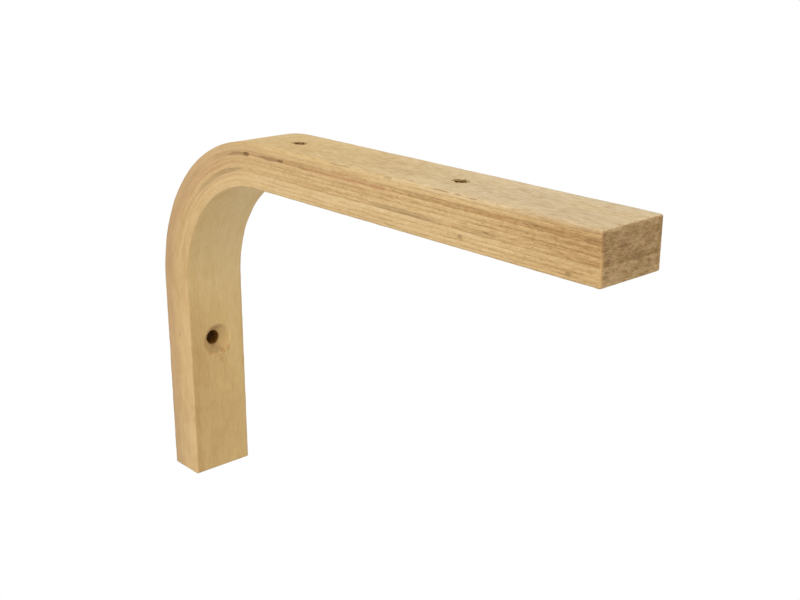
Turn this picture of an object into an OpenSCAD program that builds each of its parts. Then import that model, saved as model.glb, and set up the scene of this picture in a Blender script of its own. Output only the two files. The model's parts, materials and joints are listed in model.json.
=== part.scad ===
// Bent laminated wood shelf bracket.
//
// One strip of glued veneers is pressed round a form into an L: a leg that is screwed flat
// to the wall, a quarter-round bend, and an arm that carries the shelf. Every screw goes in
// from the inside of the L, so each hole has its countersink there.
//
// Frame: +X runs across the strip, +Y points into the wall, +Z is up. The origin is where
// the axis of the wall screw hole meets the wall. The arm points along -Y.

/* [Bracket] */
// Reach of the arm, from the wall to its tip
arm_reach = 270; // [200:1:400]
// Height of the bracket, from the foot of the leg to the shelf
bracket_h = 180; // [150:1:300]
// Width of the strip
strip_w = 32; // [24:1:60]
// Rounding of the sanded edges
edge_r = 0.8; // [0.4:0.1:1.5]

/* [Lamination] */
// Number of veneers glued together
ply_count = 11; // [7:1:14]
// Thickness of one veneer
ply_t = 1.8; // [1.2:0.1:2.2]
// Thickness of one glue line
glue_t = 0.02; // [0:0.01:0.1]
// Radius of the press form, inside the bend
form_r = 60; // [45:1:75]

/* [Screw holes] */
// Diameter of each screw hole
hole_d = 6; // [4:0.5:7]
// Diameter of each countersink at the wood's face
sink_d = 16; // [10:0.5:18]
// Included angle of each countersink
sink_angle = 90; // [82:1:110]
// Wall hole's distance below the end of the bend
wall_hole_below_bend = 30; // [12:1:45]
// First shelf hole's distance past the end of the bend
first_hole_past_bend = 12; // [10:1:40]
// Last shelf hole's distance back from the tip of the arm
last_hole_from_tip = 80; // [15:1:90]

/* [Hidden] */
$fn = 96;
// How far a cutter reaches past the face that it cuts
overcut = 1;

// Thickness of the glued strip, and the bend's outer radius
strip_t = ply_count * ply_t + (ply_count - 1) * glue_t;
bend_r = form_r + strip_t;

// Heights, measured from the wall hole's axis
bend_z = wall_hole_below_bend;
shelf_z = bend_z + bend_r;
foot_z = shelf_z - bracket_h;

// Distances from the wall
first_hole_y = bend_r + first_hole_past_bend;
last_hole_y = arm_reach - last_hole_from_tip;

sink_depth = (sink_d - hole_d) / 2 / tan(sink_angle / 2);

// The strip's section: x is its thickness from the inner face, y its width, edges rounded
module strip_section() {
    translate([0, edge_r - strip_w / 2])
        square([strip_t, strip_w - 2 * edge_r]);
    translate([edge_r, -strip_w / 2])
        square([strip_t - 2 * edge_r, strip_w]);
    for (x = [edge_r, strip_t - edge_r])
        for (y = [edge_r - strip_w / 2, strip_w / 2 - edge_r])
            translate([x, y])
                circle(r = edge_r);
}

// A straight length of strip, with its inner face on x = 0, its far end's edges rounded
module straight_strip(length) {
    intersection() {
        linear_extrude(length)
            strip_section();
        // rounds the end's two edges across the strip
        rotate([90, 0, 0])
            linear_extrude(2 * strip_w, center = true)
                rounded_end(0, strip_t, length);
        // rounds the end's two edges along its thickness
        rotate([90, 0, 90])
            linear_extrude(3 * strip_t, center = true)
                rounded_end(-strip_w / 2, strip_w / 2, length);
    }
}

// A flat tongue from 0 to length along y, between two x values, with its far corners rounded
module rounded_end(x_low, x_high, length) {
    translate([x_low, 0])
        square([x_high - x_low, length - edge_r]);
    translate([x_low + edge_r, 0])
        square([x_high - x_low - 2 * edge_r, length]);
    for (x = [x_low + edge_r, x_high - edge_r])
        translate([x, length - edge_r])
            circle(r = edge_r);
}

// The side view's own frame: x is the distance from the wall, y the height, z the width
module in_side_view() {
    rotate([90, 0, -90])
        children();
}

// The glued and trimmed L, before it is drilled
module blank() {
    in_side_view() {
        // leg, down from the bend
        translate([strip_t, bend_z])
            rotate([90, 0, 0])
                mirror([1, 0, 0])
                    straight_strip(bend_z - foot_z);
        // bend, a quarter turn round the press form
        translate([bend_r, bend_z])
            rotate([0, 0, 90])
                rotate_extrude(angle = 90)
                    translate([form_r, 0])
                        strip_section();
        // arm, out from the bend
        translate([bend_r, shelf_z - strip_t])
            rotate([0, 90, 0])
                rotate([0, 0, 90])
                    straight_strip(arm_reach - bend_r);
    }
}

// A screw hole along +z: the countersink's mouth is at z = 0 and the hole runs up through the strip
module screw_hole() {
    translate([0, 0, -overcut])
        cylinder(d = hole_d, h = strip_t + 2 * overcut);
    cylinder(d1 = sink_d, d2 = hole_d, h = sink_depth);
    // clears the chips in front of the mouth
    translate([0, 0, -overcut])
        cylinder(d = sink_d, h = overcut);
}

module wall_hole() {
    translate([0, -strip_t, 0])
        rotate([-90, 0, 0])
            screw_hole();
}

module shelf_holes() {
    for (y = [first_hole_y, last_hole_y])
        translate([0, -y, shelf_z - strip_t])
            screw_hole();
}

module bracket() {
    color("burlywood")
        difference() {
            blank();
            wall_hole();
            shelf_holes();
        }
}

bracket();
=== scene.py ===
# %% [markdown]
# # A bent laminated shelf bracket
#
# The real bracket starts as a stack of thin birch veneers. They are spread with glue, pressed round a
# form until the glue sets, then sawn to width, sanded and drilled. Here the press comes last: a flat
# glued board, the saw and the sander, the drill, and only then the bend. Working on the flat board keeps
# every measure simple, and each point remembers where it was on the board, so that the grain and the
# glue lines bend with the wood.

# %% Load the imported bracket
import json
import math

import bmesh
import bpy
import numpy as np
from mathutils import Matrix, Vector


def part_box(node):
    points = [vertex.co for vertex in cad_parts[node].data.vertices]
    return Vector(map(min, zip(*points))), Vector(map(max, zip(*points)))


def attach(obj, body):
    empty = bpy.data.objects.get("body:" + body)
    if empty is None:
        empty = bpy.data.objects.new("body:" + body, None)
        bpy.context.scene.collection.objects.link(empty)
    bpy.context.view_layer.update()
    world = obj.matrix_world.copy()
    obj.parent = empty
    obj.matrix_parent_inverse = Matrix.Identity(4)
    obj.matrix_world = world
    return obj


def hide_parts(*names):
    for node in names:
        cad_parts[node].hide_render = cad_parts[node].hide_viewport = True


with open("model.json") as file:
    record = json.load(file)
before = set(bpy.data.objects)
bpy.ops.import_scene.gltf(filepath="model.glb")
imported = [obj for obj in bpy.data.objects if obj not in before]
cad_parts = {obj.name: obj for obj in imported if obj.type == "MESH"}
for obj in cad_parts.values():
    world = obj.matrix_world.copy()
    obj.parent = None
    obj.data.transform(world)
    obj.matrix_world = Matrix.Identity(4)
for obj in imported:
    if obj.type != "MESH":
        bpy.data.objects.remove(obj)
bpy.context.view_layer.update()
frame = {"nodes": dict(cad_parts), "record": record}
record = frame["record"]
mounts = {mount["name"]: mount for mount in record["mounts"]}
print("frame holds", sorted(frame["nodes"]), "and mounts", sorted(mounts))

# %% [markdown]
# ## Sizes
#
# The bracket's outline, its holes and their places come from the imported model. The rest is written here:
# how thick each veneer is, how wide and deep the countersinks are, the rounding of the edges and the
# radius of the form. Peeled veneer is never quite even, so the glue lines are not evenly spaced. Sizes
# are in metres, and where a list is in millimetres a comment says so.

# %% Sizes of the strip
MM = 0.001
VENEERS = [1.75, 1.75, 1.85, 1.95, 1.85, 2.05, 1.55, 2.15, 1.80, 1.70, 1.60]  # in mm, from the back
PLIES = len(VENEERS)
SINK_DEPTH = 5 * MM
SINK_R = 8 * MM
EDGE_R = 0.8 * MM
FORM_R = 60 * MM

low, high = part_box("bracket")
foot_z, shelf_z, reach = low.z, high.z, -low.y
width = high.x - low.x
hole_r = mounts["wall_screw_hole"]["dims"]["r_mm"] * MM
thickness = mounts["wall_screw_hole"]["dims"]["length_mm"] * MM + SINK_DEPTH
bend_r = FORM_R + thickness
bend_z = shelf_z - bend_r
bend_length = math.pi / 2 * (FORM_R + thickness / 2)
board_top = bend_z + bend_length + (reach - bend_r)
ply = thickness / PLIES
flat_length = board_top - foot_z
print(f"strip {width / MM:.0f} x {thickness / MM:.1f} mm, {flat_length / MM:.1f} mm long when flat")

# %% Places of the screw holes along the flat board
pattern = mounts["shelf_screw_holes"]
pattern_half = pattern["dims"]["spacing_y_mm"] * MM / 2
shelf_reaches = [-pattern["pos_m"][1] - pattern_half, -pattern["pos_m"][1] + pattern_half]
wall_hole_z = mounts["wall_screw_hole"]["pos_m"][2]
shelf_hole_z = [bend_z + bend_length + r - bend_r for r in shelf_reaches]
print("holes at", [round((z - foot_z) / MM, 1) for z in [wall_hole_z, *shelf_hole_z]], "mm from the foot")

# %% [markdown]
# ## Writing node trees as Python
#
# A node tree drawn by hand is hard to read in a script. Two small classes help. `Wire` stands for one
# socket, and its operators add Math nodes, so `1 - mask * 0.5` builds the nodes it says. `Tree` adds any
# other node from its type, its settings and the values or wires that go in.

# %% Tree and Wire
class Wire:
    """An output socket that can be used in sums."""

    def __init__(self, tree, socket):
        self.tree, self.socket = tree, socket

    def maths(self, operation, *values):
        return self.tree.node("ShaderNodeMath", {"operation": operation}, dict(enumerate(values)))

    def __add__(self, other):
        return self.maths("ADD", self, other)

    def __sub__(self, other):
        return self.maths("SUBTRACT", self, other)

    def __mul__(self, other):
        return self.maths("MULTIPLY", self, other)

    def __truediv__(self, other):
        return self.maths("DIVIDE", self, other)

    def __rsub__(self, other):
        return self.maths("SUBTRACT", other, self)

    def __neg__(self):
        return self.maths("MULTIPLY", self, -1)

    __radd__ = __add__
    __rmul__ = __mul__

    def floor(self):
        return self.maths("FLOOR", self)

    def fraction(self):
        return self.maths("FRACT", self)

    def size(self):
        return self.maths("ABSOLUTE", self)

    def at_least(self, other):
        return self.maths("MAXIMUM", self, other)

    def at_most(self, other):
        return self.maths("MINIMUM", self, other)

    def rise(self, start, end):
        """0 up to start, 1 from end on, and a smooth step between them."""
        fields = {"Value": self, "From Min": start, "From Max": end}
        return self.tree.node("ShaderNodeMapRange", {"interpolation_type": "SMOOTHSTEP"}, fields)


class Tree:
    """A node tree, and the one way in which nodes are added to it."""

    def __init__(self, tree):
        self.tree = tree

    def node(self, kind, settings=None, inputs=None, output=0):
        made = self.tree.nodes.new(kind)
        for name, value in (settings or {}).items():
            if name == "stops":
                set_stops(made.color_ramp, value)
            else:
                setattr(made, name, value)
        for key, value in (inputs or {}).items():
            if isinstance(value, Wire):
                self.tree.links.new(value.socket, made.inputs[key])
            else:
                made.inputs[key].default_value = value
        return Wire(self, made.outputs[output]) if len(made.outputs) else made

    def split(self, vector):
        """The three parts of a vector."""
        wires = self.node("ShaderNodeSeparateXYZ", inputs={0: vector})
        return [Wire(self, socket) for socket in wires.socket.node.outputs]

    def vector(self, x, y, z):
        return self.node("ShaderNodeCombineXYZ", inputs={0: x, 1: y, 2: z})


def set_stops(ramp, stops):
    """Gives a colour ramp its stops, each a place from 0 to 1 and a colour."""
    while len(ramp.elements) < len(stops):
        ramp.elements.new(1.0)
    for element, (place, colour) in zip(ramp.elements, stops):
        element.position = place
        element.color = colour


print("node helpers are ready")

# %% [markdown]
# ## Cutting list for the board's skin
#
# The flat board stands upright on its foot, with its back face against the wall: x runs across it, y is
# minus the depth from the back face, and z runs along it. Its skin is a ring of points round the
# section, repeated at stations along the board. A plain box would do for a distant view, but the
# glue lines need points of their own, close together, so that each one can be a fine groove.

# %% Points round the section
def steps(start, end, pitch):
    """Even steps from start towards end, without the end itself."""
    count = max(1, round((end - start) / pitch))
    return [start + (end - start) * i / count for i in range(count)]


PATCH = 12 * MM  # half the side of the square round each hole
GLUE_HALF = 0.14 * MM  # half the width of a glue line's groove
COLUMN_PITCH = 1 * MM
flat_half = width / 2 - EDGE_R
columns = [-flat_half, -14 * MM, *steps(-13 * MM, 13.5 * MM, COLUMN_PITCH), 14 * MM, flat_half]
veneer_faces = np.concatenate([[0], np.cumsum(VENEERS)]) * thickness / sum(VENEERS)
glue_depths = veneer_faces[1:-1].tolist()
rows = [EDGE_R, thickness - EDGE_R]
rows += [depth + shift for depth in glue_depths for shift in (-GLUE_HALF, 0, GLUE_HALF)]
rows += [(one + other) / 2 for one, other in zip(glue_depths, glue_depths[1:])]
rows.sort()
last_column, last_row = len(columns) - 1, len(rows) - 1
print(len(columns), "columns across,", len(rows), "rows through the veneers")

# %% [markdown]
# Each point of the ring is a point on a smaller rectangle, pushed out by the edge radius. Pushed by less
# than that, it makes the rounded end of the board as well, down to the small rectangle itself, which is
# the rim of the sawn end.

# %% The ring
BACK, FRONT, SIDE, CORNER = range(4)


def corner(column, row, start_turn):
    """Points inside a rounded corner, between the two flats that meet there."""
    turns = [math.radians(start_turn + part) for part in (30, 60)]
    return [(column, row, math.cos(t), math.sin(t), CORNER) for t in turns]


ring = [(c, 0, 0, -1, BACK) for c in range(last_column + 1)]
ring += corner(last_column, 0, -90)
ring += [(last_column, r, 1, 0, SIDE) for r in range(last_row + 1)]
ring += corner(last_column, last_row, 0)
front_start = len(ring)
ring += [(c, last_row, 0, 1, FRONT) for c in range(last_column, -1, -1)]
ring += corner(0, last_row, 90)
ring += [(0, r, -1, 0, SIDE) for r in range(last_row, -1, -1)]
ring += corner(0, 0, 180)
base = np.array([(columns[c], rows[r]) for c, r, *_ in ring])
out = np.array([(nx, nd) for _, _, nx, nd, _ in ring])
kind = np.array([entry[4] for entry in ring])
print(len(ring), "points round the section")

# %% Stations along the board
PITCH = 1.02 * MM  # the stations are about this far apart
breaks = [foot_z + EDGE_R, wall_hole_z - PATCH, wall_hole_z + PATCH, bend_z]
breaks += [z + way for z in shelf_hole_z for way in (-PATCH, PATCH)]
breaks.append(board_top - EDGE_R)
stations = [z for start, end in zip(breaks, breaks[1:]) for z in steps(start, end, PITCH)]
stations.append(breaks[-1])
print(len(stations), "stations along the board")

# %% [markdown]
# ## Sawing and sanding
#
# A sawn and sanded face is never quite flat. Veneers stand a few hundredths of a millimetre proud or
# shy of each other, a glue line is a shallow groove, the sander leaves long low waves, and the arrises
# are eased by hand, so their radius wanders. Sums of a few sine waves with seeded lengths and phases
# give these slow shapes at any point, and they give the same shapes on each run.

# %% Waves that the sander leaves
FACE_WAVE = 0.035 * MM
SIDE_WAVE = 0.03 * MM
PLY_STEP = 0.035 * MM
GROOVE = 0.05 * MM
GROOVE_DEEP_FROM = 200 * MM  # from the foot: sanded shallower below this
EASING = 0.06 * MM
ARRIS_APART = 31 * MM  # so that no two arrises have the same waves
rng = np.random.default_rng(11)


def ripple(length_across, length_along, terms=7):
    """A smooth surface of waves, as a function of two measures, about 1 high."""
    turns = rng.uniform(0, 2 * np.pi, (terms, 2))
    spread = rng.uniform(0.6, 1.7, (terms, 2))

    def height(across, along):
        total = 0
        for (p, q), (u, v) in zip(turns, spread):
            total = total + np.sin(2 * np.pi * across / (length_across * u) + p + 1.3 * np.sin(
                2 * np.pi * along / (length_along * v) + q))
        return total / terms ** 0.5

    return height


back_waves = ripple(22 * MM, 45 * MM)
front_waves = ripple(22 * MM, 45 * MM)
side_waves = ripple(9 * MM, 38 * MM)
edge_waves = ripple(60 * MM, 14 * MM)
glue_waves = ripple(7 * MM, 24 * MM)
ply_height = rng.uniform(-PLY_STEP, PLY_STEP, (2, PLIES))
print("ply steps up to", round(float(np.abs(ply_height).max() / MM), 3), "mm")

# %% [markdown]
# Two kinds of damage show on the edges. Some veneers have small dark pockets where a knot fell out, and
# the arrises have chips where short grain broke away. Both are cut into the mesh. The stains listed
# further on lie at the same places as the pockets, so that each hollow is dark.

# %% Knot pockets and chips
# side, then in mm: distance from the foot, depth of its veneer, half length, half height, how deep
POCKETS = [
    (-1, 204.5, 5.1, 1.7, 0.7, 0.15),
    (-1, 229.0, 4.7, 1.5, 0.6, 0.12),
    (-1, 336.0, 15.5, 1.0, 0.6, 0.08),
    (-1, 386.5, 17.7, 0.9, 0.5, 0.08),
    (1, 61.0, 8.4, 2.4, 0.6, 0.35),
    (1, 262.0, 13.9, 3.1, 0.6, 0.40),
]
CHIPS = 34
chip_places = rng.uniform(foot_z + 4 * MM, board_top - 4 * MM, CHIPS)
chip_corners = rng.integers(0, 4, CHIPS)
chip_lengths = rng.uniform(1.2, 3.6, CHIPS) * MM
chip_depths = rng.uniform(0.06, 0.3, CHIPS) ** 1.3 * MM


def pocket_depth(side, depth, z):
    """How far the knot pockets cut into a side face at a depth through the veneers."""
    total = 0
    for where, along, middle, half_length, half_height, deep in POCKETS:
        u = (z - foot_z - along * MM) / (half_length * MM)
        v = (depth - middle * MM) / (half_height * MM)
        total = total + (side == where) * deep * MM * np.clip(1.25 - u * u - v * v, 0, 1)
    return total


def chip_depth(number, z):
    """How far the chips cut into one of the four long arrises."""
    total = 0
    for place, where, length, deep in zip(chip_places, chip_corners, chip_lengths, chip_depths):
        total = total + (number == where) * deep * np.clip(1 - ((z - place) / length) ** 2, 0, 1)
    return total


print(len(POCKETS), "knot pockets and", CHIPS, "chips")

# %% How far each ring point stands out at each station
z_grid, k_grid = np.meshgrid(np.array(stations), np.arange(len(ring)), indexing="ij")
x_flat = base[k_grid, 0] + out[k_grid, 0] * EDGE_R
d_flat = base[k_grid, 1] + out[k_grid, 1] * EDGE_R
side_of = np.sign(out[k_grid, 0])
ply_of = np.searchsorted(glue_depths, d_flat)
groove = np.abs(d_flat[..., None] - np.array(glue_depths)).min(axis=-1) < GLUE_HALF / 2
depth_share = np.clip((z_grid - foot_z) / GROOVE_DEEP_FROM, 0.2, 1)
groove_cut = GROOVE * depth_share * np.clip(0.6 + 0.7 * glue_waves(d_flat, z_grid), 0, 1.4)
ply_step = np.where(side_of < 0, ply_height[0][ply_of], ply_height[1][ply_of])

relief = np.zeros_like(z_grid)
relief += (kind[k_grid] == BACK) * FACE_WAVE * back_waves(x_flat, z_grid)
relief += (kind[k_grid] == FRONT) * FACE_WAVE * front_waves(x_flat, z_grid)
side_relief = SIDE_WAVE * side_waves(d_flat, z_grid) + ply_step - groove * groove_cut
relief += (kind[k_grid] == SIDE) * (side_relief - pocket_depth(side_of, d_flat, z_grid))
corner_number = (out[k_grid, 0] > 0) * 1 + (out[k_grid, 1] > 0) * 2
corner_waves = edge_waves(corner_number * ARRIS_APART, z_grid)
eased = EASING * (1 + corner_waves) + chip_depth(corner_number, z_grid)
relief -= (kind[k_grid] == CORNER) * eased
lowest, highest = (round(float(value / MM), 2) for value in (relief.min(), relief.max()))
print("skin moves from", lowest, "to", highest, "mm")

# %% [markdown]
# ## The board as a mesh
#
# A drilled board could be cut with Booleans, which leave long thin triangles round each hole. Instead,
# each hole gets a square patch in the skin. Rings of points run from the square's rim on the back face
# in to the hole, through the wood, over the countersink and out to the square's rim on the front face,
# so the mesh stays even all the way.

# %% A place to collect points and faces
CLEAR = 0.02 * MM  # places stay this far inside the outer veneers
points, places, traits, faces = [], [], [], []


def add_point(x, depth, z, place=None, arris=0.0, bore=0.0):
    """Adds a point, with where it is on the perfect board, and two traits that the finish reads: the arris,
    and the painted shade inside a hole.
    """
    px, pd, pz = place or (x, depth, z)
    points.append((x, -depth, z))
    places.append((px, -min(max(pd, CLEAR), thickness - CLEAR), pz))
    traits.append((arris, bore))
    return len(points) - 1


skin = []
for s, z in enumerate(stations):
    section = []
    for k in range(len(ring)):
        push = EDGE_R + relief[s, k]
        place = (x_flat[s, k], d_flat[s, k], z)
        section.append(add_point(base[k, 0] + out[k, 0] * push, base[k, 1] + out[k, 1] * push, z, place))
    skin.append(section)
print(len(points), "points in the skin")

# %% Skin faces, left open at the square patches
hole_z = [wall_hole_z, *shelf_hole_z]
first_column = columns.index(min(columns, key=lambda x: abs(x + PATCH)))
end_column = columns.index(min(columns, key=lambda x: abs(x - PATCH)))
back_of = {c: c for c in range(last_column + 1)}
front_of = {c: front_start + last_column - c for c in range(last_column + 1)}


def nearest_station(z):
    """The number of the station closest to a height on the flat board."""
    return min(range(len(stations)), key=lambda s: abs(stations[s] - z))


spans = [(nearest_station(z - PATCH), nearest_station(z + PATCH)) for z in hole_z]
open_columns = {back_of[c] for c in range(first_column, end_column)}
open_columns |= {front_of[c] - 1 for c in range(first_column, end_column)}
for s in range(len(stations) - 1):
    in_patch = any(start <= s < end for start, end in spans)
    for k in range(len(ring)):
        if in_patch and k in open_columns:
            continue
        after = (k + 1) % len(ring)
        faces.append((skin[s][k], skin[s][after], skin[s + 1][after], skin[s + 1][k]))
print(len(faces), "skin faces")

# %% [markdown]
# ## Sawn ends
#
# The saw cuts straight across the fibres, so the ends are rougher than the faces: low waves, loose
# grit, and veneers whose fibres were torn a little deeper than their neighbours'. The rounding at the
# rim comes from pushing the ring out by less and less while it moves up to the cut.

# %% Close both ends
SAW_WAVE = 0.02 * MM
SAW_GRIT = 0.012 * MM
SAW_TEAR = 0.05 * MM


def close_end(section, z_rim, way):
    """Rounds the rim at one end and fills the cut. way is +1 at the tip and -1 at the foot."""
    previous = section
    torn = rng.uniform(-SAW_TEAR, SAW_TEAR, PLIES)
    for turn in (30, 60):
        a = math.radians(turn)
        chipped = EASING * rng.uniform(0, 1, len(ring)) ** 2
        current = []
        for k in range(len(ring)):
            push = (EDGE_R - chipped[k]) * math.cos(a)
            x, d = base[k] + out[k] * push
            current.append(add_point(x, d, z_rim + way * EDGE_R * math.sin(a), arris=abs(out[k, 0])))
        join_rings(previous, current)
        previous = current
    grid = {}
    saw = ripple(3.1 * MM, 2.3 * MM)
    for c, x in enumerate(columns):
        for r, d in enumerate(rows):
            ply_number = np.searchsorted(glue_depths, d)
            at_glue = min(abs(d - g) for g in glue_depths) < GLUE_HALF / 2
            cut = SAW_WAVE * saw(x, d) + SAW_GRIT * rng.normal() + torn[ply_number] - at_glue * GROOVE
            on_side = c in (0, last_column)
            grid[c, r] = add_point(x, d, z_rim + way * (EDGE_R + cut), arris=0.5 if on_side else 0.0)
    for c in range(last_column):
        for r in range(last_row):
            faces.append((grid[c, r], grid[c + 1, r], grid[c + 1, r + 1], grid[c, r + 1]))
    join_rings(previous, [grid[entry[0], entry[1]] for entry in ring])


def join_rings(one, other):
    """Faces between two closed rings of points, with triangles where two points are one."""
    for k in range(len(one)):
        after = (k + 1) % len(one)
        loop = [one[k], one[after], other[after], other[k]]
        faces.append(tuple(dict.fromkeys(loop)))


close_end(skin[-1], stations[-1], 1)
close_end(skin[0], stations[0], -1)
print(len(faces), "faces with both ends closed")

# %% [markdown]
# ## Drilling
#
# Every hole was drilled from the inside of the L and countersunk there. The drill leaves a crisp cone,
# a slightly ragged wall, and a torn mouth on the back face, where the last veneer's fibres broke away
# along the grain instead of being cut.

# %% Rings of one hole
LIP = 0.12 * MM  # how much wider than the tool the cut is at a face
MOUTH_ROUGH = 0.02 * MM
WALL_ROUGH = 0.028 * MM
THROAT_ROUGH = 0.05 * MM
CONE_ROUGH = 0.03 * MM
BACK_PARTS = (0.3, 0.55, 0.75, 0.88, 0.96, 1)  # shares of the way from the square's rim to the hole
FRONT_PARTS = (1, 0.93, 0.8, 0.6, 0.3)
# share of the tear that is left, and depth from the back face in mm
MOUTH_RINGS = ((0.66, 0.10), (0.33, 0.24), (0.1, 0.42))
# how far before the cone, how much wider than the drill, both in mm, and how much painted shade the hole
# gives
THROAT_RINGS = ((0.5, 0.06, 1.0), (0.1, 0.22, 1.0), (-0.35, 0.40, 0.9))
THROAT_TEAR = 0.3
throat = thickness - SINK_DEPTH
wall_depths = steps(0.8 * MM, throat - 0.5 * MM, 1.1 * MM)
cone_depths = [*steps(throat + 0.75 * MM, thickness - 0.25 * MM, 0.45 * MM), thickness - LIP]
print(len(wall_depths), "rings down the wall and", len(cone_depths), "down the cone")

# %% One drilled hole, from the back face to the front face
def drill(span, z_mid):
    start, end = span
    loop = [(c, start) for c in range(first_column, end_column)]
    loop += [(end_column, s) for s in range(start, end)]
    loop += [(c, end) for c in range(end_column, first_column, -1)]
    loop += [(first_column, s) for s in range(end, start, -1)]
    offsets = [Vector((columns[c], stations[s] - z_mid)) for c, s in loop]
    headings = [offset.normalized() for offset in offsets]
    tear = torn_mouth(headings)

    def sheet(part, radii, depth, waves):
        """One ring on a face, part of the way from the patch's square rim to a circle."""
        made = []
        for offset, heading, radius in zip(offsets, headings, radii):
            spot = offset.lerp(heading * radius, part)
            rise = FACE_WAVE * waves(spot.x, z_mid + spot.y)
            d = depth - rise if depth < ply else depth + rise
            made.append(add_point(spot.x, d, z_mid + spot.y, (spot.x, depth, z_mid + spot.y)))
        return made

    def wall(radii, depth, ragged, bore, arris=0.0):
        """One ring inside the hole, with its share of the hole's painted shade."""
        made = []
        for heading, radius in zip(headings, radii):
            spot = heading * (radius + ragged * rng.normal())
            made.append(add_point(spot.x, depth, z_mid + spot.y, None, arris, bore))
        return made

    count = len(loop)
    mouth = [hole_r + LIP + t for t in tear]
    rim = [SINK_R + LIP] * count
    rings = [[skin[s][back_of[c]] for c, s in loop]]
    rings += [sheet(part, mouth, 0, back_waves) for part in BACK_PARTS]
    # the hole's painted shade: 0.7 at the torn mouth, about 1 down the wall and at the throat, none on the
    # cone
    for part, depth in MOUTH_RINGS:
        radii = [hole_r + LIP / 4 + (LIP + t) * part for t in tear]
        rings.append(wall(radii, depth * MM, MOUTH_ROUGH, 0.7, 0.3))
    for depth in wall_depths:
        rings.append(wall([hole_r] * count, depth, WALL_ROUGH, 1.0))
    for before, wider, shade in THROAT_RINGS:
        radii = [hole_r + wider * MM + t * THROAT_TEAR for t in tear]
        rings.append(wall(radii, throat - before * MM, THROAT_ROUGH, shade))
    for depth in cone_depths:
        radius = hole_r + (SINK_R - hole_r) * (depth - throat) / SINK_DEPTH
        rings.append(wall([radius] * count, depth, CONE_ROUGH, 0.0))
    rings += [sheet(part, rim, thickness, front_waves) for part in FRONT_PARTS]
    rings.append([skin[s][front_of[c]] for c, s in loop])
    for one, other in zip(rings, rings[1:]):
        join_rings(one, other)
    return len(rings)


def torn_mouth(headings):
    """How much wider than the drill the mouth is in each direction: most along the grain."""
    phases = rng.uniform(0, 2 * math.pi, 3)
    widths = []
    for heading in headings:
        turn = math.atan2(heading.y, heading.x)
        lumps = sum(math.sin(turn * n + p) for n, p in zip((5, 9, 14), phases)) / 3
        along_grain = abs(heading.y) ** 3
        widths.append(max(0.0, 0.2 + along_grain * (0.45 + 0.5 * lumps) + 0.08 * lumps) * MM)
    return widths


for span, z in zip(spans, hole_z):
    print("drilled", drill(span, z), "rings at", round((z - foot_z) / MM, 1), "mm from the foot")

# %% [markdown]
# The patches leave some skin points with no face, so those are dropped. The share of each point's normal
# that lies along the board says how far the surface cuts across the fibres: 0 on a face, 1 on a sawn
# end, and something between round the wall of a hole. The finish uses it, because end grain is darker.

# %% Make the mesh and store what the finish reads
def make_board():
    used = sorted({index for face in faces for index in face})
    number = {old: new for new, old in enumerate(used)}
    mesh = bpy.data.meshes.new("board")
    mesh.from_pydata([points[i] for i in used], [], [tuple(number[i] for i in face) for face in faces])
    work = bmesh.new()
    work.from_mesh(mesh)
    bmesh.ops.recalc_face_normals(work, faces=work.faces)
    open_edges = sum(not edge.is_manifold for edge in work.edges)
    work.to_mesh(mesh)
    work.free()
    mesh.update()
    mesh.shade_smooth()
    normals = np.empty(len(mesh.vertices) * 3, np.float32)
    mesh.vertices.foreach_get("normal", normals)
    trait_table = np.array([traits[i] for i in used], np.float32)
    store(mesh, "cut_across", "FLOAT", "value", np.abs(normals.reshape(-1, 3)[:, 2]))
    store(mesh, "arris", "FLOAT", "value", trait_table[:, 0])
    store(mesh, "bore", "FLOAT", "value", trait_table[:, 1])
    board_places = np.array([places[i] for i in used])
    store(mesh, "board", "FLOAT_VECTOR", "vector", board_places)
    store(mesh, "stack", "FLOAT", "value", np.interp(-board_places[:, 1], veneer_faces, range(PLIES + 1)))
    print(len(mesh.vertices), "points,", len(mesh.polygons), "faces,", open_edges, "open edges")
    return mesh


def store(mesh, name, data_type, field, values):
    """Keeps one value or vector for each point under a name."""
    layer = mesh.attributes.new(name, data_type, "POINT")
    layer.data.foreach_set(field, np.ascontiguousarray(values, np.float32).ravel())


def add_object(name, data):
    """Puts a mesh, a lamp or a camera into the scene."""
    thing = bpy.data.objects.new(name, data)
    bpy.context.scene.collection.objects.link(thing)
    return thing


board = add_object("bracket_bent", make_board())

# %% [markdown]
# ## The wood
#
# Birch is pale and plain. What makes it look real is small: fibres along the grain, sparse dark pores,
# each veneer a shade of its own, thin brown glue lines at the edges, and end grain that is darker than
# the faces. All of it is worked out from the place on the flat board, in millimetres, so the pattern
# goes through the wood as a solid and runs round the bend. One material serves every cut.

# %% Colours, as they look under plain light
def tint(red, green, blue):
    """A colour of ordinary 0 to 255 values, as the light values that nodes use."""
    parts = [v / 255 for v in (red, green, blue)]
    linear = [v / 12.92 if v <= 0.04045 else ((v + 0.055) / 1.055) ** 2.4 for v in parts]
    return (*linear, 1.0)


def shades(*colours):
    """Four colours from pale to dark, each at its place on a ramp."""
    return [(place, tint(*colour)) for place, colour in zip((0, 0.38, 0.72, 1), colours)]


EDGE_COLOURS = shades((228, 200, 150), (212, 178, 125), (184, 145, 94), (150, 109, 64))
FACE_COLOURS = shades((226, 199, 150), (210, 178, 120), (187, 147, 93), (148, 110, 62))
ASH_COLOURS = shades((225, 206, 170), (211, 188, 149), (188, 160, 118), (150, 118, 78))
END_COLOURS = [(0.2, tint(190, 160, 117)), (0.5, tint(163, 132, 90)), (0.8, tint(130, 98, 62))]
END_ROSY = tint(176, 136, 106)
END_OLIVE = tint(160, 134, 80)
DUSTY = tint(194, 161, 124)
ROSY = tint(192, 145, 103)
GREY_BROWN = tint(164, 138, 97)
# the brown of the glue, also painted as shade on the rounded rims of the ends
GLUE_AND_SHADE_BROWN = tint(134, 97, 58)
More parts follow.
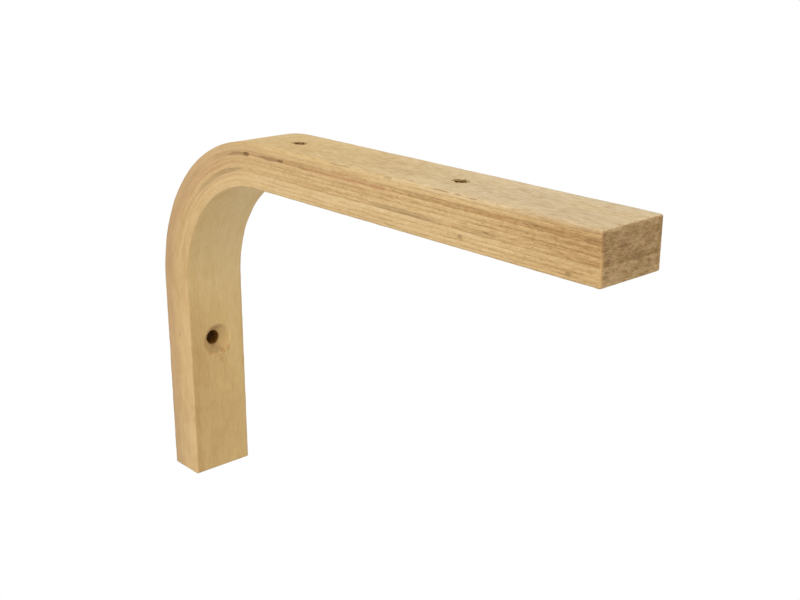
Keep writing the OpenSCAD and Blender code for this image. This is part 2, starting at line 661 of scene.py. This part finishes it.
# the knots' own colour, also painted as shade along the leg's rounded back arris
KNOT_AND_SHADE_BROWN = tint(98, 66, 35)
HONEY = tint(206, 165, 110)
# painted shade inside the holes: a dark brown for the wood where the hole shades it
HOLE_SHADE_BROWN = tint(112, 72, 16)
TORN = tint(186, 132, 82)

# how dark each veneer is on the edges, from the back face to the front face
VENEER_TONES = [0.30, 0.37, 0.56, 0.40, 0.42, 0.37, 0.44, 0.22, 0.29, 0.27, 0.28]
print(len(VENEER_TONES), "veneer tones")

# %% [markdown]
# Stains are soft spots on the same board: the brown tails beside the knot pockets, grey-brown streaks,
# a rosy veneer under the back two, rosy bands in the bend, and small flecks. Each is a place, a size and
# a strength, and one function turns it into a mask. A depth below zero is round the arris, on the back.

# %% Stains on the edges
# side, then distance from the foot, depth, half length and half height in mm, then strength
DARK_SPOTS = [
    (-1, 204.6, 5.1, 2.9, 1.0, 0.95), (-1, 199.0, 5.1, 9.0, 1.05, 0.45), (-1, 229.0, 4.7, 2.8, 0.9, 0.85),
    (-1, 221.5, 4.8, 9.5, 1.0, 0.45), (-1, 336.0, 15.5, 1.8, 1.1, 0.50), (-1, 386.5, 17.7, 1.7, 0.9, 0.50),
    (-1, 188.0, 11.8, 15.0, 1.1, 0.20), (1, 61.0, 8.4, 2.6, 0.8, 0.9), (1, 262.0, 13.9, 3.4, 0.8, 0.9),
    (-1, 371.0, 4.2, 7.0, 0.6, 0.25), (-1, 348.5, 11.4, 2.0, 0.5, 0.5), (-1, 244.0, 5.0, 3.0, 0.8, 0.25),
    (-1, 396.0, 4.8, 5.0, 1.1, 0.25), (-1, 114.0, 7.0, 1.2, 0.8, 0.2), (-1, 74.0, 11.0, 1.3, 1.2, 0.16),
    (-1, 268.0, 0.0, 7.5, 0.55, 0.50), (-1, 297.0, 0.1, 3.2, 0.50, 0.45), (-1, 308.0, -2.3, 1.8, 0.5, 0.5),
    (-1, 326.0, 0.0, 5.5, 0.55, 0.60), (-1, 334.0, 0.1, 2.4, 0.50, 0.50), (-1, 342.0, 0.2, 2.8, 0.45, 0.45),
]
ROSY_SPOTS = [
    (-1, 291.0, 5.2, 6.0, 1.2, 0.9), (-1, 265.0, 4.9, 28.0, 1.45, 0.7), (-1, 222.5, 16.6, 3.4, 1.0, 0.5),
    (-1, 115.0, 7.0, 1.8, 1.1, 0.5), (-1, 116.0, 15.0, 1.8, 0.9, 0.35), (-1, 147.0, 6.0, 3.4, 1.4, 0.5),
    (-1, 92.0, 8.0, 2.5, 1.4, 0.4), (-1, 64.0, 8.0, 3.0, 1.4, 0.35), (-1, 32.0, 12.4, 3.4, 1.8, 0.5),
    (-1, 345.0, 4.6, 30.0, 0.95, 0.15), (-1, 300.0, 7.0, 5.0, 1.2, 0.35), (-1, 214.0, 4.8, 30.0, 1.0, 0.5),
    (-1, 166.0, 8.6, 42.0, 0.75, 0.8), (-1, 172.0, 14.0, 40.0, 0.75, 0.75),
    (-1, 158.0, 6.4, 34.0, 0.7, 0.65),
]
# fibre torn round the countersink on the front face, with the place across the face instead of a depth
TORN_SPOTS = [
    (1, 63.0, 3.7, 1.5, 1.8, 0.75), (1, 64.2, 6.2, 1.9, 1.3, 0.70), (1, 63.4, -4.6, 1.2, 2.0, 0.60),
    (1, 58.8, 2.0, 2.6, 1.2, 0.55), (1, 61.5, 0.4, 1.2, 3.4, 0.45), (1, 74.6, 1.2, 2.0, 1.0, 0.45),
]
GREY_SPOTS = [
    (-1, 304.0, 11.9, 26.0, 1.2, 0.8), (-1, 347.0, 11.7, 10.0, 0.9, 0.4), (-1, 322.0, 4.5, 20.0, 0.9, 0.3),
    (-1, 179.0, 12.0, 27.0, 1.7, 0.8),
]


def spots(listed, facing, middle_at, along, wobble):
    """One mask from a list of soft spots, on the side where facing has the listed sign."""
    total = None
    for side, where, middle, half_length, half_height, strength in listed:
        u = (along - where) / half_length
        v = (middle_at - middle + wobble) / half_height
        inside = (1 - (u * u + v * v)).at_least(0)
        mask = inside.rise(0, 0.7) * (facing * side).rise(-0.1, 0.1) * strength
        total = mask if total is None else total.at_least(mask)
    return total


print(len(DARK_SPOTS + ROSY_SPOTS + TORN_SPOTS + GREY_SPOTS), "stains")

# %% [markdown]
# ## Birch: where each point is
#
# The looks are put together from masks, which are numbers that change over the wood. Each mask is worked
# out from what the mesh carries: the place on the flat board, the place in the stack of veneers, and
# three traits. Names such as `depth` and `along` stand for wires, and sums of them add nodes.

# %% Start the birch
def new_material(name):
    """An empty node material, and the tree to build it in."""
    material = bpy.data.materials.new(name)
    material.use_nodes = True
    material.node_tree.nodes.clear()
    return material, Tree(material.node_tree)


birch, wood = new_material("birch_laminate")


def trait(name, output):
    """What the mesh stored under a name."""
    return wood.node("ShaderNodeAttribute", {"attribute_name": name}, output=output)


across, minus_depth, up = wood.split(trait("board", "Vector"))
across = across / MM
depth = minus_depth / -MM
along = (up - foot_z) / MM
cut_across, arris, bore = (trait(name, "Fac") for name in ("cut_across", "arris", "bore"))
print("the birch reads its place on the board")

# %% Noise, mixing and ramps
def noise(x, y, z, detail=2.0, roughness=0.55):
    """Cloudy noise from 0 to 1, whose lumps are about 1 across in x, y and z."""
    settings = {"Vector": wood.vector(x, y, z), "Scale": 1.0, "Detail": detail, "Roughness": roughness}
    return wood.node("ShaderNodeTexNoise", inputs=settings)


def mix(amount, first, second):
    """The first colour where the amount is 0, and the second where it is 1."""
    return wood.node("ShaderNodeMix", {"data_type": "RGBA"}, {0: amount, 6: first, 7: second}, output=2)


def ramp(stops, place, interpolation="LINEAR"):
    wire = wood.node("ShaderNodeValToRGB", {"stops": stops}, {0: place})
    wire.socket.node.color_ramp.interpolation = interpolation
    return wire


# %% Which veneer each point is in, with joints that wander a little along the board
WANDER = 0.36
stack = trait("stack", "Fac")
line = (stack + 0.5).floor()
inside = stack.rise(0.3, 0.6) * (PLIES - stack).rise(0.3, 0.6)
wander = (noise(line * 7.3, along / 34, across / 40, 3) - 0.5) * WANDER * inside
level = (stack + wander).at_least(0.01).at_most(PLIES - 0.01)
layer = level.floor()
from_glue = ((level + 0.5).fraction() - 0.5).size() * (ply / MM)
print("veneers are told apart")

# %% [markdown]
# ## Birch: grain
#
# Grain is noise that is stretched along the board and shifted from veneer to veneer, because each veneer
# comes from another part of the log. Wood shows it at many sizes at once, from fibres a third of a
# millimetre wide to a slow figure as long as a finger, so several are made here and each surface takes
# its own share of them. The arm is livelier than the leg, which was sanded smoother.

# %% Regions of the board
on_edge = (across.size() - (width / 2 - EDGE_R) / MM).rise(-0.4, 0.4)
on_arm = along.rise(120, 280)
near_tip = along.rise(330, 398)
near_back = 1 - depth.rise(0.3, 2.2)
bend_start = along.rise(80, 105) * (1 - along.rise(140, 190))

# %% Grain of many sizes
def grain(size_across, size_depth, size_along, detail=2.0, shift=0.0):
    """Noise of the given sizes in mm, different in every veneer."""
    return noise(across / size_across + layer * 3.7 + shift, depth / size_depth,
                 along / size_along + layer * 11.3, detail) - 0.5


fibres = grain(0.34, 0.30, 9, 3)
flecks = grain(0.8, 0.42, 5.5, 2, 3.0)
streaks = grain(1.6, 0.55, 42, 3, 5.0)
figure = grain(7.5, 3.0, 70, 2, 9.0)
chaff = grain(1.5, 0.75, 2.2, 3, 61.0)
nap = grain(0.8, 0.75, 5.2, 3, 67.0)
lumps = grain(2.6, 2.0, 4.5, 3, 71.0)
dashes = (grain(0.55, 0.32, 1.5, 2, 83.0) + 0.5).rise(0.58, 0.74) * on_arm
clouds = noise(across / 8, depth / 5, along / 13, 4, 0.6) - 0.5
blotches = clouds + (grain(9, 6, 20, 3, 17.0) - clouds) * on_arm
pore_dots = (grain(0.22, 0.20, 2.6, 1, 23.0) + 0.5).rise(0.63, 0.75)
pores = pore_dots * (grain(4, 2.5, 26, 1, 31.0) + 0.5).rise(0.4, 0.6)
print(len(wood.tree.nodes), "nodes in the grain")

# %% [markdown]
# ## Birch: edges and faces
#
# On the edges the saw went through all the veneers, so each shows its own tone and the glue between
# them. That is strong on the arm and sanded faint on the leg. The two broad faces are one veneer each,
# cut along the fibres, and on the arm they turn a little ashen towards the tip. Ramps turn a tone from
# 0, pale, to 1, dark, into colours of wood.

# %% Colour of the edges
tone_stops = [(k / PLIES, (tone, tone, tone, 1)) for k, tone in enumerate(VENEER_TONES)]
veneer_tone = ramp(tone_stops, level / PLIES, "CONSTANT")
# the near_back term here is painted shade along the leg's rounded back arris
leg_tone = 0.70 - depth.rise(-6, 16) * 0.31 + near_back * 0.15 + bend_start * 0.11
veneers_show = 0.06 + along.rise(55, 250) * 0.94 - near_tip * 0.22
edge_tone = leg_tone + (veneer_tone - leg_tone) * veneers_show + near_tip * (0.20 + near_back * 0.2)
live = 0.35 + on_arm * 0.65
lively = (fibres * 0.55 + flecks * 0.50 + streaks * on_arm * 0.40 + chaff * 0.55) * live + dashes * 0.45
lively = lively + figure * (0.08 + on_arm * 0.20) + blotches * (0.52 - on_arm * 0.18)
edge_colour = ramp(EDGE_COLOURS, edge_tone + lively)
edge_colour = mix((1 - on_arm) * (1 - depth.rise(1, 12)) * 0.5, edge_colour, DUSTY)
# painted shade: a thin dark line along the leg's rounded back arris
edge_colour = mix((1 - depth.rise(0.2, 1.1)) * (1 - on_arm) * 0.3, edge_colour, KNOT_AND_SHADE_BROWN)
print(len(VENEER_TONES), "veneers on the edge")

# %% Colour of the faces
face_live = 0.23 + on_arm * 0.77
face_grain = fibres * 0.80 + flecks * 0.80 + nap * 1.05 + lumps * 0.55 + blotches * 0.30
face_tone = 0.39 + face_grain * face_live
face_tone = face_tone + figure * 0.34 + blotches * 0.22 + dashes * 0.30
# painted light and shade on the leg's faces: darker towards the foot, and paler on the upper leg as painted
# light against the shade of the arm; the leg's faces also darken a little towards -x
face_tone = face_tone + (1 - along.rise(20, 110)) * 0.08
face_tone = face_tone - (1 - on_arm) * (across * 0.006 + along.rise(70, 115) * 0.14)
face_tone = face_tone - on_arm * across.rise(6, 14) * 0.12
face_colour = ramp(FACE_COLOURS, face_tone + pores * 0.26)
ash_colour = ramp(ASH_COLOURS, face_tone + pores * 0.26)
face_colour = mix(along.rise(225, 365) * (0.85 + blotches * 1.5), face_colour, ash_colour)
colour = mix(on_edge * (1 - near_back * on_arm * 0.7), face_colour, edge_colour)
print(len(wood.tree.nodes), "nodes with the plain edges and faces")

# %% [markdown]
# ## Birch: stains and glue
#
# The stains take their places from the lists above. A wobble from the grain breaks up their outlines, so
# that none is a clean oval. A stain on an edge wraps a little way round the arris. The glue is a thin
# brown line wherever two veneers meet at a cut, and it comes and goes: some lines are squeezed thick,
# and some are nearly dry.

# %% Stains
wobble = grain(3, 50, 7, 3, 41.0) * 1.4 + flecks * 0.8
inset = width / 2 / MM - across.size()
to_front = depth - thickness / 2 / MM
wrapped = depth + inset * to_front.maths("SIGN", to_front) * (1 - cut_across.rise(0.3, 0.6))
near_side = 1 - inset.rise(2.6, 4)
rosy, grey, dark = (spots(listed, across, wrapped, along, wobble) * near_side
                    for listed in (ROSY_SPOTS, GREY_SPOTS, DARK_SPOTS))
torn = spots(TORN_SPOTS, to_front - 4, across, along, wobble)
colour = mix(rosy * (0.6 + streaks * 1.2), colour, ROSY)
colour = mix(grey * (0.5 + streaks * 1.8 + fibres), colour, GREY_BROWN)
colour = mix(pores * on_edge * 0.5, colour, GLUE_AND_SHADE_BROWN)

# %% Glue lines, with the darkest stains over them
squeezed = noise(line * 5.3, along / 8, across / 30, 4, 0.65).rise(0.34, 0.70)
own = noise(line * 17.7 + 4, along / 90, across / 60, 1).rise(0.3, 0.7)
at_cut = on_edge.at_least(cut_across.rise(0.3, 0.6))
glue_here = at_cut * inside * (0.06 + along.rise(125, 290) * 0.94)
glue = (1 - from_glue.rise(0.03, 0.45)) * (0.05 + squeezed * 0.25 + own * 0.14) * glue_here
glue = glue + (1 - from_glue.rise(0.0, 0.13)) * squeezed * glue_here * 0.15
colour = mix(glue * (1 - cut_across * 0.5), colour, GLUE_AND_SHADE_BROWN)
colour = mix(dark * (0.8 + fibres), colour, KNOT_AND_SHADE_BROWN)
colour = mix(torn * (0.6 + chaff * 1.5), colour, TORN)
print(len(wood.tree.nodes), "nodes with the stains and the glue")

# %% [markdown]
# ## Birch: end grain
#
# A saw across the fibres opens them like a bundle of straws, so the ends are darker and rougher. Lumps
# and short slanting tears nearly hide the veneers. There is a darker band a little past the middle, and
# patches lean to rose or to olive.

# %% Sawn ends
BAND_DEPTH, BAND_HALF = 11.9, 1.7
slant = across + depth * 0.9
speck = noise(slant / 2.1, (depth - across * 0.22) / 0.62, along / 3, 3, 0.62)
grit = noise(across / 0.5, depth / 0.4, along / 0.5, 2, 0.6)
mottle = noise(across / 5.2, depth / 2.6, along / 6, 3, 0.6)
band = 1 - ((depth - BAND_DEPTH) / BAND_HALF).size().rise(0.1, 1.0)
end_tone = 0.50 + (speck - 0.5) * 0.95 + (grit - 0.5) * 0.55 + (mottle - 0.5) * 1.1 + band * 0.10
ragged_depth = depth + (speck - 0.5) * 4
end_tone = end_tone + (veneer_tone - 0.35) * 0.22 - (1 - ragged_depth.rise(0.4, 1.8)) * 0.14
end_tone = end_tone - depth.rise(12, 20) * 0.10
patches = noise(slant / 4.5, depth / 2.0, along / 6 + 9, 3, 0.6)
end_colour = mix(patches.rise(0.52, 0.62) * 0.30, ramp(END_COLOURS, end_tone), END_ROSY)
end_colour = mix(patches.rise(0.46, 0.38) * 0.30, end_colour, END_OLIVE)
colour = mix(cut_across.rise(0.45, 0.9), colour, mix(glue * 0.4, end_colour, GLUE_AND_SHADE_BROWN))

# %% Arrises of the ends, painted shade inside the holes, and the shader
colour = mix(arris * depth.rise(5, 9) * (0.5 + streaks + chaff), colour, HONEY)
# partly the brown of end grain, partly painted shade: the rounded arrises darken towards the back face,
# where the rounding faces the key lamp
colour = mix(arris * (1 - depth.rise(6, 12)) * (0.5 + streaks + chaff), colour, GLUE_AND_SHADE_BROWN)
# painted shade: the walls of each hole turn dark brown, most deeply down the bore, as if the hole shaded
# them
colour = mix(bore.rise(0.05, 1.0) * 0.96, colour, HOLE_SHADE_BROWN)
height = fibres * 0.6 + streaks * 0.3 + flecks * 0.4 - pores * 0.5 + speck * cut_across * 1.6
bump = wood.node("ShaderNodeBump", inputs={"Strength": 0.4, "Distance": 0.07 * MM, "Height": height})
rough = 0.62 + fibres * 0.2 + cut_across * 0.2 + dark * 0.1
shader = wood.node("ShaderNodeBsdfPrincipled", inputs={
    "Base Color": colour, "Roughness": rough, "Normal": bump, "IOR": 1.45, "Specular IOR Level": 0.2})
wood.node("ShaderNodeOutputMaterial", inputs={"Surface": shader})
print(len(wood.tree.nodes), "nodes in the birch")

# %% [markdown]
# ## The press
#
# The press wraps the flat board round the form. A curve modifier could bend it, but it stretches the
# section a little at each joint of the curve. A few sums do it exactly. Up to the bend nothing moves.
# In the bend the distance along the board becomes an angle, and the depth sets the radius. Past it, the
# rest of the board is a straight arm. Geometry Nodes do these sums for every point at once, with the
# form's sizes as named inputs.

# %% A tree with named inputs, and how it is applied
def new_press(name, sizes):
    """A Geometry Nodes tree with a geometry input and one named input for each size."""
    group = bpy.data.node_groups.new(name, "GeometryNodeTree")
    group.interface.new_socket("Geometry", in_out="OUTPUT", socket_type="NodeSocketGeometry")
    group.interface.new_socket("Geometry", in_out="INPUT", socket_type="NodeSocketGeometry")
    for label, socket_type in sizes.items():
        group.interface.new_socket(label, in_out="INPUT", socket_type=socket_type)
    tree = Tree(group)
    entry = tree.node("NodeGroupInput")
    wires = {socket.name: Wire(tree, socket) for socket in entry.socket.node.outputs if socket.name}
    return tree, wires


def finish_tree(tree, geometry, material):
    """Every tree ends in real geometry with its material set."""
    real = tree.node("GeometryNodeRealizeInstances", inputs={0: geometry})
    painted = tree.node("GeometryNodeSetMaterial", inputs={"Geometry": real, "Material": material})
    tree.node("NodeGroupOutput", inputs={0: painted})


def apply_tree(thing, tree, values):
    """Runs the tree on an object and leaves the result as that object's own plain mesh."""
    modifier = thing.modifiers.new(tree.tree.name, "NODES")
    modifier.node_group = tree.tree
    for item in tree.tree.interface.items_tree:
        if item.item_type == "SOCKET" and item.in_out == "INPUT" and item.name in values:
            modifier[item.identifier] = values[item.name]
    seen = thing.evaluated_get(bpy.context.evaluated_depsgraph_get())
    result = bpy.data.meshes.new_from_object(seen)
    thing.modifiers.clear()
    thing.data = result
    result.name = thing.name
    print(thing.name, "has", sum(len(p.vertices) - 2 for p in result.polygons), "triangles")


# %% Wrap the board round the form
def make_bend_tree():
    labels = ("Outer radius", "Bend height", "Bend length")
    tree, given = new_press("wrap_round_form", dict.fromkeys(labels, "NodeSocketFloat"))
    x, y, z = tree.split(tree.node("GeometryNodeInputPosition"))
    radius, height, length = given["Outer radius"], given["Bend height"], given["Bend length"]
    past = z - height
    turn = (past / length).at_least(0).at_most(1) * (math.pi / 2)
    reach_in = radius + y
    sideways = reach_in * turn.maths("COSINE", turn) - radius - (past - length).at_least(0)
    upwards = reach_in * turn.maths("SINE", turn) + height + past.at_most(0)
    bent = tree.node("GeometryNodeSetPosition", inputs={
        "Geometry": given["Geometry"], "Position": tree.vector(x, sideways, upwards)})
    finish_tree(tree, bent, birch)
    return tree


form = {"Outer radius": bend_r, "Bend height": bend_z, "Bend length": bend_length}
apply_tree(board, make_bend_tree(), form)
board.data.shade_smooth()

# %% [markdown]
# ## Torn fibres
#
# Where the drill came out through the shelf face, it pushed some fibres aside instead of cutting them.
# They hang over the mouth of each hole as thin splinters, all along the grain. Hair particles would be
# lost in the export, so Geometry Nodes place thin cones round a circle of points at each mouth and make
# them real.

# %% Birch fibres, paler than the face because they are fresh wood
FIBRE_WIDTH, FIBRE_LENGTH = 0.2 * MM, 1.5 * MM
FIBRE_COLOURS = [(0.3, tint(240, 220, 166)), (0.7, tint(206, 176, 112))]
fibre_wood, fresh = new_material("birch_fibres")
x, y, z = fresh.split(fresh.node("ShaderNodeTexCoord", output="Object"))
stretched = fresh.vector(x / FIBRE_WIDTH, y / FIBRE_LENGTH, z / FIBRE_WIDTH)
shade = fresh.node("ShaderNodeTexNoise", inputs={"Vector": stretched, "Scale": 1.0, "Detail": 2.0})
fresh_colour = fresh.node("ShaderNodeValToRGB", {"stops": FIBRE_COLOURS}, {0: shade})
dull = fresh.node("ShaderNodeBsdfPrincipled", inputs={"Base Color": fresh_colour, "Roughness": 0.7})
fresh.node("ShaderNodeOutputMaterial", inputs={"Surface": dull})
print(len(fresh.tree.nodes), "nodes in the fresh fibres")

# %% Splinters round a mouth
def make_splinter_tree():
    sizes = {"Hole radius": "NodeSocketFloat", "Splinters": "NodeSocketInt", "Thickness": "NodeSocketFloat",
             "Seed": "NodeSocketInt"}
    tree, given = new_press("splinters_round_mouth", sizes)
    seed = given["Seed"]

    def chance(lowest_value, highest_value, shift):
        """A random number for each splinter. Only the node's enabled sockets are for plain numbers."""
        node = tree.node("FunctionNodeRandomValue", {"data_type": "FLOAT"}).socket.node
        sockets = {s.name: s for s in node.inputs if s.enabled}
        sockets["Min"].default_value = lowest_value
        sockets["Max"].default_value = highest_value
        tree.tree.links.new((seed + shift).socket, sockets["Seed"])
        return Wire(tree, next(s for s in node.outputs if s.enabled))

    circle = tree.node("GeometryNodeMeshCircle", {"fill_type": "NONE"}, {
        "Vertices": given["Splinters"], "Radius": given["Hole radius"]})
    x, y, _ = tree.split(tree.node("GeometryNodeInputPosition"))
    jitter = tree.vector(x + chance(-0.25 * MM, 0.25 * MM, 1), y, chance(-0.40 * MM, 0.10 * MM, 2))
    rim = tree.node("GeometryNodeSetPosition", inputs={"Geometry": circle, "Position": jitter})
    inwards = tree.vector(chance(-0.22, 0.22, 3), -y.maths("SIGN", y), chance(-0.16, 0.10, 4))
    turned = tree.node("FunctionNodeAlignRotationToVector", {"axis": "Z"}, {"Vector": inwards})
    fat = given["Thickness"] * chance(0.5, 1.3, 5)
    long = y.size() * chance(0.15, 1.0, 6) + 0.2 * MM
    splinter = tree.node("GeometryNodeMeshCone", {"fill_type": "TRIANGLE_FAN"}, {
        "Vertices": 5, "Side Segments": 3, "Radius Top": 0.15, "Radius Bottom": 1.0, "Depth": 1.0})
    placed = tree.node("GeometryNodeInstanceOnPoints", inputs={
        "Points": rim, "Instance": splinter, "Rotation": turned, "Scale": tree.vector(fat, fat, long)})
    mouths = tree.node("GeometryNodeInstanceOnPoints", inputs={
        "Points": given["Geometry"], "Instance": placed})
    finish_tree(tree, mouths, fibre_wood)
    return tree


# %% One point at each mouth in the shelf face, and the tree does the rest
MOUTH_GAP = 0.15 * MM
SPLINTER_R = 0.17 * MM
mouth_points = bpy.data.meshes.new("mouths")
mouth_points.from_pydata([(0, -reach_out, shelf_z) for reach_out in shelf_reaches], [], [])
splinters = add_object("torn_fibres", mouth_points)
values = {"Hole radius": hole_r + MOUTH_GAP, "Splinters": 20, "Thickness": SPLINTER_R, "Seed": 4}
apply_tree(splinters, make_splinter_tree(), values)
splinters.data.shade_smooth()

# %% [markdown]
# ## What each piece stands for
#
# The bent board takes the place of the plain model of the bracket, and both pieces ride on the one rigid
# body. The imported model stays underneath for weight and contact.

# %% Tie the pieces to the model
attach(board, "root")
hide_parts("bracket")
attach(splinters, "root")

# %% [markdown]
# ## Floor, light and camera
#
# The bracket is shown level, as it hangs on its wall, well above a plain white floor. The sky is white
# and even. One broad lamp from the upper left lights the top and the near side, and a weaker one from
# the front keeps the face of the leg readable.

# %% White floor
def see_white(tree, share):
    """1 for rays from the eye, a mirror or glass, times a share, so that the background is white."""
    rays = tree.node("ShaderNodeLightPath").socket.node.outputs
    seen = Wire(tree, rays["Is Camera Ray"]) + Wire(tree, rays["Is Glossy Ray"])
    seen = seen + Wire(tree, rays["Is Transmission Ray"])
    return seen.at_most(1) * share


FLOOR_DROP = 1.0
FLOOR_HALF = 14.0
floor_mesh = bpy.data.meshes.new("floor")
corner_ways = ((-1, -1), (1, -1), (1, 1), (-1, 1))
floor_corners = [(i * FLOOR_HALF, j * FLOOR_HALF, foot_z - FLOOR_DROP) for i, j in corner_ways]
floor_mesh.from_pydata(floor_corners, [], [(0, 1, 2, 3)])
floor = add_object("floor", floor_mesh)
floor_paint, paint = new_material("floor_paint")
matt = paint.node("ShaderNodeBsdfDiffuse", inputs={"Color": (0.86, 0.86, 0.86, 1)})
glow = paint.node("ShaderNodeEmission", inputs={"Color": (1, 1, 1, 1), "Strength": 1.0})
mixed = paint.node("ShaderNodeMixShader", inputs={0: see_white(paint, 1.0), 1: matt, 2: glow})
paint.node("ShaderNodeOutputMaterial", inputs={"Surface": mixed})
floor_mesh.materials.append(floor_paint)
print("floor at", round(foot_z - FLOOR_DROP, 2), "m")

# %% Sky
SKY_LEVEL = 0.58
world = bpy.data.worlds.new("white_sky")
world.use_nodes = True
world.node_tree.nodes.clear()
sky = Tree(world.node_tree)
sky_strength = SKY_LEVEL + see_white(sky, 1 - SKY_LEVEL)
backdrop = sky.node("ShaderNodeBackground", inputs={"Color": (1, 1, 1, 1), "Strength": sky_strength})
sky.node("ShaderNodeOutputWorld", inputs={"Surface": backdrop})
bpy.context.scene.world = world
print("sky at", SKY_LEVEL, "of white")

# %% Lamps
middle = Vector((0, -reach / 2, (shelf_z + foot_z) / 2))


def lamp(name, place, size, watts):
    """A square soft lamp that faces the middle of the bracket."""
    data = bpy.data.lights.new(name, "AREA")
    data.shape, data.size, data.energy = "SQUARE", size, watts
    thing = add_object(name, data)
    thing.location = place
    thing.rotation_euler = (middle - Vector(place)).to_track_quat("-Z", "Y").to_euler()


lamp("key", (-1.5, -0.35, 1.35), 1.3, 23)
lamp("front_fill", (-0.2, -2.0, 0.6), 1.2, 9)
print("two lamps")

# %% Camera
LENS_OVER_WIDTH = 1177 / 800
SENSOR = 36.0
camera_data = bpy.data.cameras.new("camera")
camera_data.sensor_width = SENSOR
camera_data.lens = SENSOR * LENS_OVER_WIDTH
camera_data.clip_start, camera_data.clip_end = 0.01, 60
camera = add_object("camera", camera_data)
yaw, pitch, roll = math.radians(42.19), math.radians(18.44), math.radians(0.23)
aim = Matrix.Rotation(-yaw, 4, "Z") @ Matrix.Rotation(math.pi / 2 - pitch, 4, "X")
camera_place = Matrix.Translation((-0.3051, -0.4933, 0.2064))
camera.matrix_world = camera_place @ (aim @ Matrix.Rotation(roll, 4, "Z"))
bpy.context.scene.camera = camera
bpy.context.scene.view_settings.view_transform = "Standard"
print("camera at", [round(v, 3) for v in camera.location])
